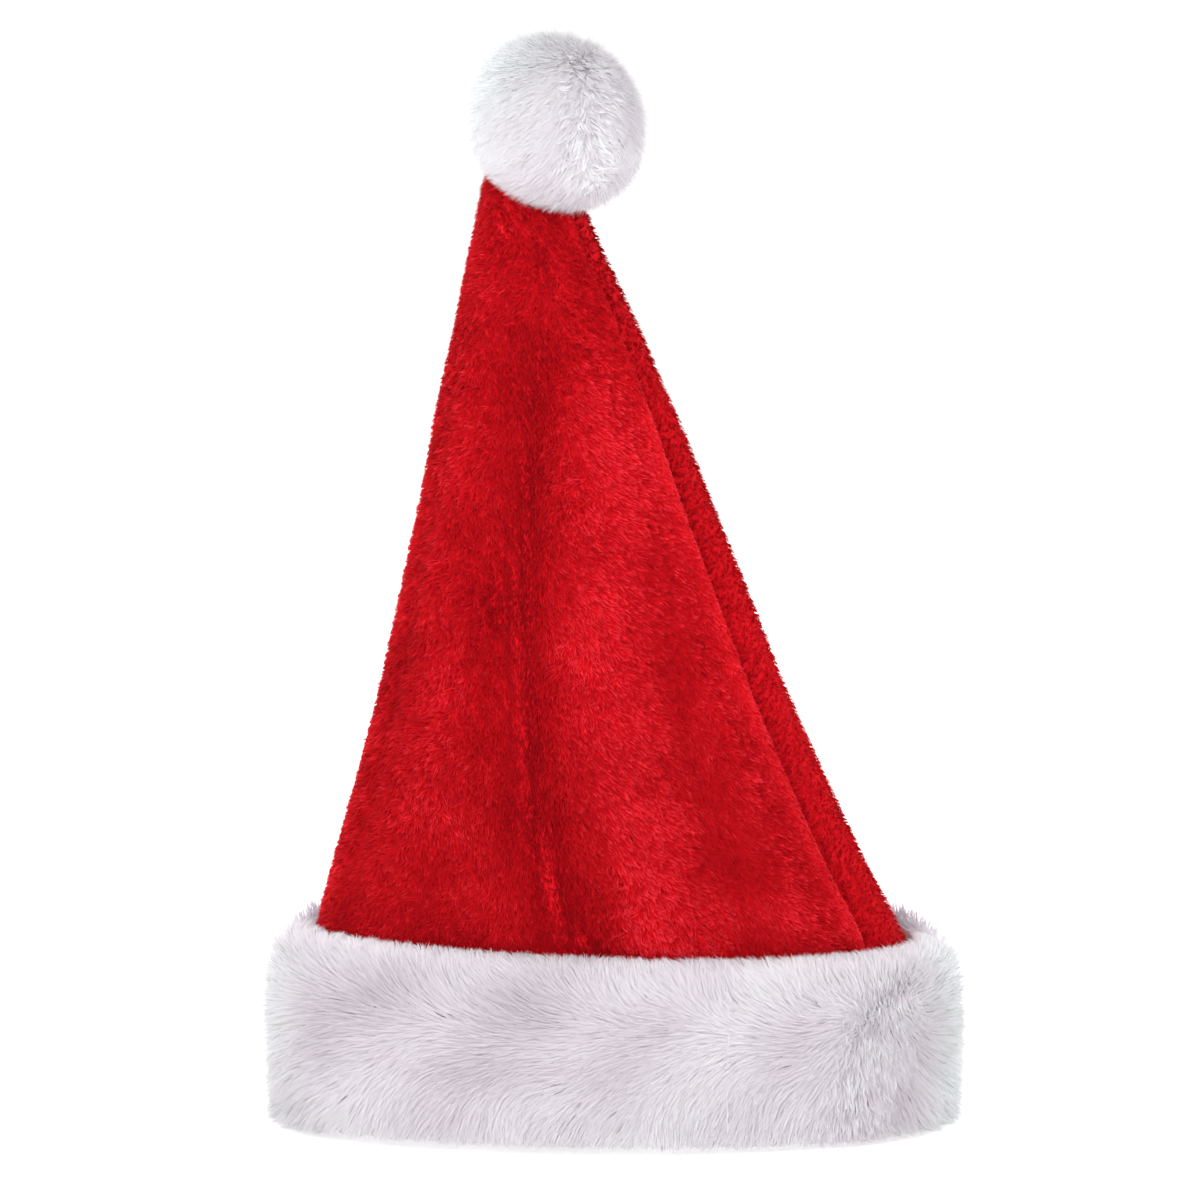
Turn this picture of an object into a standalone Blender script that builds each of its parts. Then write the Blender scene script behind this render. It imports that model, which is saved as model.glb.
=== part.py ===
"""A santa hat that stands on its fur band: a red plush cone of two panels, with a white fur pompom on its tip.

Metres, +Z up. The origin is the middle of the band's underside, +X is the wearer's left, and -Y is the front.
Angles go round the hat in degrees, from +X through the front, so 90 is the front and 180 is the -X end.
"""

from collections import namedtuple
from math import degrees, pi, radians
from random import Random

import bmesh
import bpy
import numpy as np
from mathutils import Vector

# The cone of the crown

PLUSH = 0.003  # backing and pile together
SEAM_GAP = 0.0003
MARGIN_FOOT = 0.0123  # the crown's lower margin ends here, inside the band

Section = namedtuple("Section", "height left right depth middle")
CROWN_SECTIONS = (
    #       height   left     right   depth   middle
    Section(0.0123, -0.1270, 0.1270, 0.0510, 0.0000),
    Section(0.0700, -0.1270, 0.1270, 0.0510, 0.0000),
    Section(0.0870, -0.1255, 0.1200, 0.0500, 0.0000),
    Section(0.1120, -0.1190, 0.1065, 0.0480, -0.0002),
    Section(0.1510, -0.1077, 0.0884, 0.0435, -0.0005),
    Section(0.1890, -0.0981, 0.0716, 0.0390, -0.0008),
    Section(0.2270, -0.0897, 0.0569, 0.0350, -0.0012),
    Section(0.2650, -0.0813, 0.0414, 0.0310, -0.0017),
    Section(0.3030, -0.0741, 0.0263, 0.0272, -0.0022),
    Section(0.3415, -0.0666, 0.0095, 0.0230, -0.0028),
    Section(0.3800, -0.0582, -0.0082, 0.0185, -0.0034),
    Section(0.3980, -0.0546, -0.0155, 0.0155, -0.0038),
    Section(0.4060, -0.0510, -0.0190, 0.0125, -0.0042),
    Section(0.4110, -0.0460, -0.0205, 0.0095, -0.0046),
    Section(0.4150, -0.0415, -0.0225, 0.0075, -0.0050),
)
CROWN_HEIGHTS = (
    (0.0123, 0.070, 0.078, 0.087, 0.099, 0.112, 0.130, 0.151, 0.170, 0.189)
    + (0.208, 0.227, 0.246, 0.265, 0.284, 0.303, 0.322, 0.3415, 0.361, 0.380)
    + (0.398, 0.406, 0.411, 0.415)
)
FRONT_COLUMNS = 22
BACK_COLUMNS = 16
SEAM_CROWDING = 0.6  # how much closer together the columns lie beside a seam

# Soft folds, each a line up the crown through three angles, with how far it stands out and over what width
FOLDS_START = 0.070
FOLDS_FULL = 0.090
FOLD_END = 0.040

Fold = namedtuple("Fold", "place low high angle_low angle_middle angle_high width stands")
CROWN_FOLDS = (
    #    place                    low   high   angles        width  stands
    Fold("long front valley", 0.050, 0.365, 95, 110, 97, 0.0130, -0.0070),
    Fold("broad front ridge", 0.050, 0.370, 77, 81, 66, 0.0200, 0.0042),
    Fold("left front ridge", 0.110, 0.345, 133, 134, 136, 0.0150, 0.0030),
    Fold("left edge valley", 0.080, 0.380, 157, 156, 152, 0.0060, -0.0014),
    Fold("right front valley", 0.050, 0.230, 57, 59, 62, 0.0120, -0.0032),
    Fold("brow under the pompom", 0.300, 0.410, 100, 84, 74, 0.0090, -0.0024),
    Fold("left back ridge", 0.050, 0.330, 236, 240, 244, 0.0200, 0.0030),
    Fold("broad back valley", 0.050, 0.360, 283, 268, 262, 0.0190, -0.0050),
    Fold("right back ridge", 0.050, 0.320, 312, 306, 300, 0.0200, 0.0028),
)

# The seams run up the front right and, opposite it, the back left. Each panel's edge rolls into its seam.
SEAM_LOW = (0.070, 30.0)  # height, angle
SEAM_HIGH = (0.400, 43.0)
SEAM_FULL_WIDTH = 0.050  # the half-width of the crown from which the seam has its full relief
SEAM_ROLL_PLACE = 0.0075
SEAM_ROLL_WIDTH = 0.0060
SEAM_FRONT_REACH = 0.0028
SEAM_BACK_REACH = 0.0080

Seam = namedtuple("Seam", "place turn roll valley")
SEAMS = (
    #    place       turn   roll    valley
    Seam("front right", 0, 0.0034, 0.0062),
    Seam("back left", 180, 0.0014, 0.0030),
)

# The fur band, a ring whose section is drawn outwards from the crown's margin
BAND_COLUMNS = 48
SLOT_CLEARANCE = 0.0008
BAND_MIDDLE = 0.013  # the outward place along which its columns are evenly spaced
BAND_CREST = 0.0775

BandRow = namedtuple("BandRow", "place outward height rises lock lean")
BAND_ROWS = (
    #       place                outward                    height  rises  lock    lean
    BandRow("hem outside", 0.0080, 0.0000, 0.0, 0.0055, -0.0020),
    BandRow("low corner", 0.0118, 0.0065, 0.0, 0.0075, -0.0022),
    BandRow("low side", 0.0134, 0.0190, 0.1, 0.0080, -0.0016),
    BandRow("middle side", 0.0134, 0.0320, 0.3, 0.0075, -0.0010),
    BandRow("high side", 0.0126, 0.0450, 0.5, 0.0070, 0.0000),
    BandRow("shoulder", 0.0108, 0.0580, 0.7, 0.0065, 0.0014),
    BandRow("top corner", 0.0085, 0.0700, 0.9, 0.0055, 0.0022),
    BandRow("crest", 0.0058, BAND_CREST, 1.0, 0.0000, 0.0000),
    BandRow("slot mouth", 0.0046, 0.0765, 1.0, 0.0000, 0.0000),
    BandRow("slot throat", SLOT_CLEARANCE, 0.0620, 0.5, 0.0000, 0.0000),
    BandRow("slot floor outside", SLOT_CLEARANCE, 0.0120, 0.0, 0.0000, 0.0000),
    BandRow("slot floor inside", -PLUSH - SLOT_CLEARANCE, 0.0120, 0.0, 0.0000, 0.0000),
    BandRow("backing top outside", -PLUSH - SLOT_CLEARANCE, 0.0600, 0.0, 0.0000, 0.0000),
    BandRow("backing top inside", -0.0064, 0.0600, 0.0, 0.0000, 0.0000),
    BandRow("hem inside", -0.0064, 0.0000, 0.0, 0.0000, 0.0000),
)

# How much higher than over the front the band's crest stands, round the hat
Lift = namedtuple("Lift", "angle rise")
BAND_LIFTS = (
    Lift(0, 0.0010),
    Lift(45, -0.0015),
    Lift(90, 0.0000),
    Lift(135, 0.0035),
    Lift(180, 0.0070),
    Lift(225, 0.0050),
    Lift(270, 0.0040),
    Lift(315, 0.0045),
    Lift(360, 0.0010),
)
LOCK_SHOULDER = 0.0017  # how far a lock's sides draw in before its tip
LOCK_SHARE = 0.42  # the share of its length that lies below the shoulder
LOCK_UNEVEN = 0.25
LOCK_STRAY = 0.0024  # how far a lock's tip may lie off its middle, each way
LOCK_SEED = 12

# The pompom
POMPOM_CENTRE = Vector((-0.0246, -0.0100, 0.4255))
POMPOM_HEAD = 0.0280
POMPOM_LOCK = 0.0080
POMPOM_SHOULDER = 0.0010
POCKET_CLEARANCE = 0.0005
POCKET_ROOF = 0.0003
POCKET_FOOT = 0.361

# Colours are linear
RED = (0.51, 0.007, 0.012, 1.0)
WHITE = (0.76, 0.73, 0.76, 1.0)


def clear_scene():
    for thing in list(bpy.data.objects):
        bpy.data.objects.remove(thing)


def cloth(name, colour, roughness, sheen):
    material = bpy.data.materials.new(name)
    material.use_nodes = True
    shader = material.node_tree.nodes["Principled BSDF"]
    shader.inputs["Base Color"].default_value = colour
    shader.inputs["Roughness"].default_value = roughness
    shader.inputs["Metallic"].default_value = 0.0
    shader.inputs["Sheen Weight"].default_value = sheen
    return material


def object_from(name, bm, material):
    """The finished mesh as an object, with its faces turned outwards."""
    bmesh.ops.recalc_face_normals(bm, faces=bm.faces)
    mesh = bpy.data.meshes.new(name)
    bm.to_mesh(mesh)
    bm.free()
    mesh.materials.append(material)
    mesh.shade_smooth()
    mesh.set_sharp_from_angle(angle=radians(40))
    made = bpy.data.objects.new(name, mesh)
    bpy.context.scene.collection.objects.link(made)
    return made


def eased(share):
    """0 to 1 with a soft start and end."""
    share = min(max(share, 0.0), 1.0)
    return share * share * (3 - 2 * share)


def section_at(height):
    """The crown's section there, read between the rows of its table."""
    heights = [row.height for row in CROWN_SECTIONS]
    read = [np.interp(height, heights, column) for column in zip(*CROWN_SECTIONS)]
    return Section(*read)


def seam_angle(height, seam):
    share = max(0.0, (height - SEAM_LOW[0]) / (SEAM_HIGH[0] - SEAM_LOW[0]))
    return SEAM_LOW[1] + share * (SEAM_HIGH[1] - SEAM_LOW[1]) + seam.turn


def half_turn(angle):
    """The angle between -180 and 180 that points the same way."""
    return (angle + 180) % 360 - 180


def arc_length(section, angle, turn):
    """How far a small turn goes along the section's outline."""
    half_width = (section.right - section.left) / 2
    slope = np.hypot(half_width * np.sin(radians(angle)), section.depth * np.cos(radians(angle)))
    return slope * radians(turn)


def fold_relief(section, angle, fold):
    """How far one fold moves the cloth outwards at a point."""
    share = (section.height - fold.low) / (fold.high - fold.low)
    if not 0 < share < 1:
        return 0.0
    line = (
        fold.angle_low * (1 - share) * (1 - 2 * share)
        + fold.angle_middle * 4 * share * (1 - share)
        + fold.angle_high * share * (2 * share - 1)
    )
    aside = arc_length(section, angle, half_turn(angle - line)) / fold.width
    ends = eased((section.height - fold.low) / FOLD_END) * eased((fold.high - section.height) / FOLD_END)
    return fold.stands * ends * np.exp(-aside * aside)


def seam_relief(section, angle, seam):
    """How far the cloth rolls outwards beside a seam and sinks into it."""
    half_width = (section.right - section.left) / 2
    aside = arc_length(section, angle, half_turn(angle - seam_angle(section.height, seam)))
    if seam.turn:
        aside = -aside
    roll = seam.roll * np.exp(-(((aside - SEAM_ROLL_PLACE) / SEAM_ROLL_WIDTH) ** 2))
    reach = SEAM_FRONT_REACH if aside > 0 else SEAM_BACK_REACH
    return (roll - seam.valley * np.exp(-abs(aside) / reach)) * min(1.0, half_width / SEAM_FULL_WIDTH)


def crown_relief(section, angle):
    free = eased((section.height - FOLDS_START) / (FOLDS_FULL - FOLDS_START))
    folds = sum(fold_relief(section, angle, fold) for fold in CROWN_FOLDS)
    seams = sum(seam_relief(section, angle, seam) for seam in SEAMS)
    return free * (folds + seams)


def oval_point(section, angle, outward):
    """A point of the crown's oval section, moved along the oval's own normal."""
    half_width = (section.right - section.left) / 2
    along, across = np.cos(radians(angle)), -np.sin(radians(angle))
    normal = Vector((along / half_width, across / section.depth, 0)).normalized()
    centre = Vector(((section.left + section.right) / 2, section.middle, section.height))
    return centre + Vector((half_width * along, section.depth * across, 0)) + normal * outward


def crown_point(height, angle, outward):
    """A point of the crown's outer face with its folds, moved outwards."""
    section = section_at(height)
    return oval_point(section, angle, outward + crown_relief(section, angle))


def skin(bm, rings, joined):
    """Quads between neighbouring rings of points, each ring a closed loop. Joined rings close on the first."""
    rings = [[bm.verts.new(point) for point in ring] for ring in rings]
    pairs = list(zip(rings, rings[1:] + rings[:1]))
    for ring, after in pairs if joined else pairs[:-1]:
        for corner in range(len(ring)):
            beside = (corner + 1) % len(ring)
            bm.faces.new((ring[corner], ring[beside], after[beside], after[corner]))
    return rings


def panel_angles(height, first_seam, columns):
    """The columns of one panel at a height, from its first seam through 180 degrees to the other."""
    section = section_at(height)
    start = seam_angle(height, first_seam)
    steps = np.linspace(0, 1, columns + 1)
    crowded = steps - SEAM_CROWDING * np.sin(2 * pi * steps) / (2 * pi)
    gap = degrees(SEAM_GAP / 2 / arc_length(section, start, degrees(1)))
    return start + gap + (180 - 2 * gap) * crowded


def crown_panel(name, first_seam, columns, material):
    """One plush panel of the cone, with its wall's two faces closed along the seams, the foot and the tip."""
    bm = bmesh.new()
    rings = []
    for height in CROWN_HEIGHTS:
        angles = panel_angles(height, first_seam, columns)
        outer = [crown_point(height, angle, 0) for angle in angles]
        inner = [crown_point(height, angle, -PLUSH) for angle in angles]
        rings.append(outer + inner[::-1])
    rings = skin(bm, rings, joined=False)
    for ring in (rings[0], rings[-1]):
        for column in range(columns):
            other = len(ring) - 1 - column
            bm.faces.new((ring[column], ring[column + 1], ring[other - 1], ring[other]))
    return object_from(name, bm, material)


def grow_locks(bm, faces, length, shoulder, lean, chance):
    """Draws each face out into a tapered lock that leans by a given move towards its tip."""
    bmesh.ops.inset_individual(
        bm, faces=faces, thickness=shoulder, depth=length * LOCK_SHARE, use_even_offset=True
    )
    for face in faces:
        out = face.normal.copy()
        rest = length * (1 - LOCK_SHARE) * (1 + chance.uniform(-LOCK_UNEVEN, LOCK_UNEVEN))
        stray = Vector([chance.uniform(-LOCK_STRAY, LOCK_STRAY) for _ in range(3)])
        tip = bmesh.ops.poke(bm, faces=[face])["verts"][0]
        tip.co += out * rest + lean + stray
        tip.co.z = max(tip.co.z, 0.0)


def band_angles():
    """Angles whose points lie evenly round the middle of the band."""
    foot = section_at(MARGIN_FOOT)
    fine = np.linspace(0, 360, 1441)
    points = np.array([oval_point(foot, angle, BAND_MIDDLE) for angle in fine])
    run = np.concatenate([[0], np.cumsum(np.linalg.norm(np.diff(points, axis=0), axis=1))])
    return np.interp(np.linspace(0, run[-1], BAND_COLUMNS + 1)[:-1], run, fine)


def fur_band(material):
    bm = bmesh.new()
    foot = section_at(MARGIN_FOOT)
    rings = []
    for angle in band_angles():
        rise = np.interp(angle, [lift.angle for lift in BAND_LIFTS], [lift.rise for lift in BAND_LIFTS])
        ring = []
        for row in BAND_ROWS:
            point = oval_point(foot, angle, row.outward)
            point.z = row.height + row.rises * rise
            ring.append(point)
        rings.append(ring)
    rings = skin(bm, rings, joined=True)
    bmesh.ops.recalc_face_normals(bm, faces=bm.faces)
    chance = Random(LOCK_SEED)
    for low, row in enumerate(BAND_ROWS):
        if not row.lock:
            continue
        strip = [
            bm.faces.get((ring[low], ring[low + 1], after[low + 1], after[low]))
            for ring, after in zip(rings, rings[1:] + rings[:1])
        ]
        grow_locks(bm, strip, row.lock, LOCK_SHOULDER, Vector((0, 0, row.lean)), chance)
    return object_from("fur_band", bm, material)


def tip_cutter(material):
    """The crown's tip, a little larger, to cut the pompom's pocket with."""
    bm = bmesh.new()
    rings = []
    for height in CROWN_HEIGHTS:
        if height < POCKET_FOOT:
            continue
        front = panel_angles(height, SEAMS[0], FRONT_COLUMNS)
        back = panel_angles(height, SEAMS[1], BACK_COLUMNS)
        rings.append([crown_point(height, angle, POCKET_CLEARANCE) for angle in (*front, *back)])
    rings[-1] = [point + Vector((0, 0, POCKET_ROOF)) for point in rings[-1]]
    rings = skin(bm, rings, joined=False)
    bm.faces.new(rings[0])
    bm.faces.new(rings[-1])
    cutter = object_from("tip_cutter", bm, material)
    cutter.hide_render = True
    cutter.display_type = "WIRE"
    return cutter


def pompom(material, cutter):
    bm = bmesh.new()
    bmesh.ops.create_icosphere(bm, subdivisions=3, radius=POMPOM_HEAD)
    bmesh.ops.translate(bm, verts=bm.verts, vec=POMPOM_CENTRE)
    bm.normal_update()
    grow_locks(bm, list(bm.faces), POMPOM_LOCK, POMPOM_SHOULDER, Vector(), Random(LOCK_SEED))
    made = object_from("pompom", bm, material)
    pocket = made.modifiers.new("pocket", "BOOLEAN")
    pocket.operation = "DIFFERENCE"
    pocket.solver = "EXACT"
    pocket.object = cutter
    return made


clear_scene()
red_plush = cloth("red_plush", RED, roughness=0.75, sheen=0.5)
white_fur = cloth("white_fur", WHITE, roughness=0.9, sheen=0.3)
crown_panel("crown_front_panel", SEAMS[0], FRONT_COLUMNS, red_plush)
crown_panel("crown_back_panel", SEAMS[1], BACK_COLUMNS, red_plush)
fur_band(white_fur)
pompom(white_fur, tip_cutter(white_fur))
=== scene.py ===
# %% [markdown]
# # A santa hat in red plush and white fur
# The hat stands on its fur band: a tall cone of two plush panels that leans to the left, with a pompom on
# its tip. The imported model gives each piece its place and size. Here each piece gets its cloth: a finely
# divided backing first, then a pile of many thin strands that are joined into a few meshes. Strands made
# from arrays keep the file short and the result the same on each run, which hair systems and simulations
# don't promise.

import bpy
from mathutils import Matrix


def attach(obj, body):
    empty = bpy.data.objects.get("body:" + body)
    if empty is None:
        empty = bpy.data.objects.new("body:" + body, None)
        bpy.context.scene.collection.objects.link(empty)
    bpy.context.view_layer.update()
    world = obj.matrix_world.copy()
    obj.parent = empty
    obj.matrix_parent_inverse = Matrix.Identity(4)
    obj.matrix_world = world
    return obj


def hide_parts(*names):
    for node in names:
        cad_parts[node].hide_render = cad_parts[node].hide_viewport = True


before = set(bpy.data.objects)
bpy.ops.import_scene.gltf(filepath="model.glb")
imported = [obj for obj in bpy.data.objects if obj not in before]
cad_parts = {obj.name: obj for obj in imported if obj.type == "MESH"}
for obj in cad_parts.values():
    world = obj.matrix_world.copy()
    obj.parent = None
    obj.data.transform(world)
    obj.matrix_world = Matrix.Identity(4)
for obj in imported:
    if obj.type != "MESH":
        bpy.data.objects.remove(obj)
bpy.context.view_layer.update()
print("nodes:", sorted(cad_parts))

# %% The modules and the maths on rows of points
from collections import namedtuple

import bmesh
import bpy
import numpy as np
from mathutils import Vector, kdtree

MM = 0.001
print("Blender", bpy.app.version_string)


def unit(rows):
    """Each row scaled to length 1."""
    return rows / np.maximum(np.linalg.norm(rows, axis=-1, keepdims=True), 1e-12)


def dot(first, second):
    return (first * second).sum(-1, keepdims=True)


def eased(share):
    """0 to 1 with a soft start and end."""
    share = np.clip(share, 0.0, 1.0)
    return share * share * (3 - 2 * share)


RIPPLE_WAVES, RIPPLE_HEIGHT = 7, 2.6  # how many waves are summed, and what their sum is divided by


def ripple(points, wavelength, seed):
    """A smooth field from about -1 to 1 whose hills lie about a wavelength apart."""
    chance = np.random.default_rng(seed)
    directions = unit(chance.normal(size=(RIPPLE_WAVES, 3)))
    waves = directions * chance.uniform(0.7, 1.5, (RIPPLE_WAVES, 1)) * 2 * np.pi / wavelength
    phases = chance.uniform(0, 2 * np.pi, RIPPLE_WAVES)
    return np.sin(points @ waves.T + phases).sum(-1) / RIPPLE_HEIGHT


# %% [markdown]
# ## The cone's shape
# A sewn cone isn't a turned shape: its sections are ovals that shrink and drift to one side as they rise. A
# short table holds the ovals, and a second one the folds, each a soft line up the cloth with a width and a
# height. Both are the model's own. Reading them with a formula, and not from the solid, gives a surface as
# fine as one likes, and a normal and a direction of pile anywhere on it.

# %% The ovals of the cone
Section = namedtuple("Section", "height left right depth middle")
CROWN = Section(
    *np.array(
        (
            # height, left, right, depth, middle
            (12.3, -127.0, 127.0, 51.0, 0.0),
            (70.0, -127.0, 127.0, 51.0, 0.0),
            (87.0, -125.5, 120.0, 50.0, 0.0),
            (112.0, -119.0, 106.5, 48.0, -0.2),
            (151.0, -107.7, 88.4, 43.5, -0.5),
            (189.0, -98.1, 71.6, 39.0, -0.8),
            (227.0, -89.7, 56.9, 35.0, -1.2),
            (265.0, -81.3, 41.4, 31.0, -1.7),
            (303.0, -74.1, 26.3, 27.2, -2.2),
            (341.5, -66.6, 9.5, 23.0, -2.8),
            (380.0, -58.2, -8.2, 18.5, -3.4),
            (398.0, -54.6, -15.5, 15.5, -3.8),
            (406.0, -51.0, -19.0, 12.5, -4.2),
            (411.0, -46.0, -20.5, 9.5, -4.6),
            (415.0, -41.5, -22.5, 7.5, -5.0),
        )
    ).T
    * MM
)
MARGIN_FOOT, TIP = CROWN.height[0], CROWN.height[-1]
SOFTENING = 8 * MM
SOFTEN_BELOW = 390 * MM


def section_at(height):
    """The cone's ovals at some heights, with the corners between the rows of the table softened."""
    reach = SOFTENING * np.clip((SOFTEN_BELOW - height) / SOFTENING, 0, 1)
    reach = reach * np.clip((height - CROWN.height[1]) / SOFTENING, 0, 1)
    steps = [height + share * reach for share in (-1, -0.5, 0, 0.5, 1)]
    columns = [np.mean([np.interp(step, CROWN.height, column) for step in steps], 0) for column in CROWN]
    return Section(height, *columns[1:])


print(f"the cone rises from {MARGIN_FOOT:.4f} to {TIP:.4f} m")

# %% Its folds and its two seams
FOLDS_START, FOLDS_FULL, FOLD_END = 70 * MM, 90 * MM, 40 * MM

Fold = namedtuple("Fold", "place low high angle_low angle_middle angle_high width stands")
CROWN_FOLDS = (
    # place, low and high in mm, three angles, width and stands in mm
    Fold("long front valley", 50, 365, 89, 110, 97, 13.0, -7.0),
    Fold("broad front ridge", 50, 370, 77, 81, 66, 20.0, 4.2),
    Fold("left front ridge", 110, 345, 133, 134, 136, 15.0, 3.0),
    Fold("left edge valley", 80, 380, 157, 156, 152, 6.0, -1.4),
    Fold("right front valley", 50, 230, 57, 59, 62, 12.0, -3.2),
    Fold("brow under the pompom", 300, 410, 100, 84, 74, 9.0, -2.4),
    Fold("left back ridge", 50, 330, 236, 240, 244, 20.0, 3.0),
    Fold("broad back valley", 50, 360, 283, 268, 262, 19.0, -5.0),
    Fold("right back ridge", 50, 320, 312, 306, 300, 20.0, 2.8),
)
SEAM_LOW = (70 * MM, 30.0)  # height, angle
SEAM_HIGH = (400 * MM, 43.0)
SEAM_FULL_WIDTH = 50 * MM
SEAM_ROLL_PLACE, SEAM_ROLL_WIDTH = 4.5 * MM, 6.5 * MM
SEAM_FRONT_REACH, SEAM_BACK_REACH = 1.4 * MM, 9 * MM

Seam = namedtuple("Seam", "turn roll valley")
SEAMS = (Seam(0, 4.2 * MM, 6.2 * MM), Seam(180, 1.8 * MM, 3.0 * MM))


def seam_angle(height, turn):
    share = np.maximum(0, (height - SEAM_LOW[0]) / (SEAM_HIGH[0] - SEAM_LOW[0]))
    return SEAM_LOW[1] + share * (SEAM_HIGH[1] - SEAM_LOW[1]) + turn


def half_turn(angle):
    return (angle + 180) % 360 - 180


def fold_relief(section, angle, arc, fold):
    """How far one fold moves the cloth outwards."""
    share = (section.height - fold.low * MM) / ((fold.high - fold.low) * MM)
    line = (
        fold.angle_low * (1 - share) * (1 - 2 * share)
        + fold.angle_middle * 4 * share * (1 - share)
        + fold.angle_high * share * (2 * share - 1)
    )
    aside = arc * np.radians(half_turn(angle - line)) / (fold.width * MM)
    starts = eased((section.height - fold.low * MM) / FOLD_END)
    stops = eased((fold.high * MM - section.height) / FOLD_END)
    return fold.stands * MM * starts * stops * np.exp(-aside * aside)


def seam_relief(section, angle, arc, seam):
    """The front panel rolls up to a lip at a seam and turns down into it, to meet the back panel. The back
    panel sinks towards the seam."""
    aside = arc * np.radians(half_turn(angle - seam_angle(section.height, seam.turn)))
    aside = -aside if seam.turn else aside
    roll = seam.roll * np.exp(-(((aside - SEAM_ROLL_PLACE) / SEAM_ROLL_WIDTH) ** 2))
    edge = seam.roll * np.exp(-((SEAM_ROLL_PLACE / SEAM_ROLL_WIDTH) ** 2))
    front = roll - (edge + seam.valley) * np.exp(-((aside / SEAM_FRONT_REACH) ** 2))
    back = -seam.valley * np.exp(-np.abs(aside) / SEAM_BACK_REACH)
    half_width = (section.right - section.left) / 2
    return np.where(aside > 0, front, back) * np.minimum(1, half_width / SEAM_FULL_WIDTH)


def crown_point(height, angle, outward):
    """Points of the cone's outer face with its folds, moved outwards along the oval's normal."""
    section = section_at(height)
    half_width = (section.right - section.left) / 2
    along, across = np.cos(np.radians(angle)), -np.sin(np.radians(angle))
    arc = np.hypot(half_width * across, section.depth * along)
    free = eased((height - FOLDS_START) / (FOLDS_FULL - FOLDS_START))
    relief = sum(fold_relief(section, angle, arc, fold) for fold in CROWN_FOLDS)
    relief = relief + sum(seam_relief(section, angle, arc, seam) for seam in SEAMS)
    normal = unit(np.stack([along / half_width, across / section.depth], -1))
    flat = np.stack([half_width * along, section.depth * across], -1)
    flat = flat + np.stack([(section.left + section.right) / 2, section.middle], -1)
    flat = flat + normal * (outward + free * relief)[..., None]
    return np.concatenate([flat, np.broadcast_to(height, flat.shape[:-1])[..., None]], -1)


print(len(CROWN_FOLDS), "folds and", len(SEAMS), "seams")

# %% [markdown]
# ## Sheets, rings and strands
# Two makers build all the meshes. One joins rows of points into a skin, for the backings. The other builds
# strands: each strand is a thin ribbon that starts in the cloth, leaves it at an angle and bends towards
# the way the pile is brushed. Neighbours lean towards the leader of their tuft, so the pile parts into
# locks. A strand's shading normal is mostly the cloth's own, because real pile is far finer than these
# ribbons and shades as one soft surface.

# %% A mesh object from arrays
def finished(name, mesh, materials, nodes=()):
    """The mesh as a piece that rides on the hat's one body."""
    made = bpy.data.objects.new(name, mesh)
    bpy.context.scene.collection.objects.link(made)
    for material in materials:
        mesh.materials.append(material)
    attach(made, "root")
    if nodes:
        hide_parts(*nodes)
    mesh.calc_loop_triangles()
    print(f"{name}: {len(mesh.loop_triangles)} triangles")
    return made


def mesh_from(name, points, corners, sizes):
    """A mesh from points, the corners of all its faces in a row, and how many corners each face has."""
    mesh = bpy.data.meshes.new(name)
    mesh.vertices.add(len(points))
    mesh.vertices.foreach_set("co", np.ascontiguousarray(points, np.float32).ravel())
    mesh.loops.add(len(corners))
    mesh.loops.foreach_set("vertex_index", np.ascontiguousarray(corners, np.int32))
    mesh.polygons.add(len(sizes))
    starts = np.concatenate([[0], np.cumsum(sizes)[:-1]])
    mesh.polygons.foreach_set("loop_start", starts.astype(np.int32))
    mesh.update(calc_edges=True)
    mesh.polygons.foreach_set("use_smooth", np.ones(len(sizes), bool))
    return mesh


def skin(name, rings, joined, capped):
    """Quads between rows of points, where each row is a closed ring. Joined rows close on the first one."""
    rows, ring = rings.shape[:2]
    index = np.arange(rows * ring).reshape(rows, ring)
    after = np.roll(index, -1, 0) if joined else index[1:]
    here = index if joined else index[:-1]
    quads = [np.stack([here, np.roll(here, -1, 1), np.roll(after, -1, 1), after], -1).reshape(-1, 4)]
    if capped:
        half = ring // 2
        for row, turned in ((index[0], True), (index[-1], False)):
            near, far = row[:half], row[half:][::-1]
            cap = np.stack([near[:-1], near[1:], far[1:], far[:-1]], -1)
            quads.append(cap[:, ::-1] if turned else cap)
    quads = np.concatenate(quads)
    return mesh_from(name, rings.reshape(-1, 3), quads.ravel(), np.full(len(quads), 4))


print("mesh makers ready")

# %% Soft patches of painted light and shade on the front
Patch = namedtuple("Patch", "place x height reach_x reach_z amount")
PATCHES_FADE_OVER = 8 * MM  # from the front to the back


def patched(points, patches):
    """The sum of some soft patches of painted light and shade at some points. They lie on the front, and the
    back has none.
    """
    total = np.zeros(len(points))
    for patch in patches:
        aside = (points[:, 0] / MM - patch.x) / patch.reach_x
        up = (points[:, 2] / MM - patch.height) / patch.reach_z
        total += patch.amount * np.exp(-aside * aside - up * up)
    return total * eased(-points[:, 1] / PATCHES_FADE_OVER + 0.5)


print("a soft patch has", ", ".join(Patch._fields))

# %% Places spread evenly over a surface
Ground = namedtuple("Ground", "at out rising round share_u share_v")
SMALL_STEP = 2e-4
PLASTIC = 1.32471795724474602596  # the root that spreads points of two numbers evenly
UNEVEN = 0.35  # how far a place strays, as a share of the gap between neighbours
AREA_CELLS = 80
LEAST_AREA = 1e-15  # of a cell, so that no row of cells is empty


def ground_at(surface, share_u, share_v):
    """Points of a surface with its normal and its two directions, and how much surface each stands for."""
    ahead_u, ahead_v = surface(share_u + SMALL_STEP, share_v), surface(share_u, share_v + SMALL_STEP)
    here = surface(share_u, share_v)
    rising, round_ = ahead_u - here, ahead_v - here
    out = np.cross(rising, round_)
    size = np.linalg.norm(out, axis=-1)
    return Ground(here, unit(out), unit(rising), unit(round_), share_u, share_v), size


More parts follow.
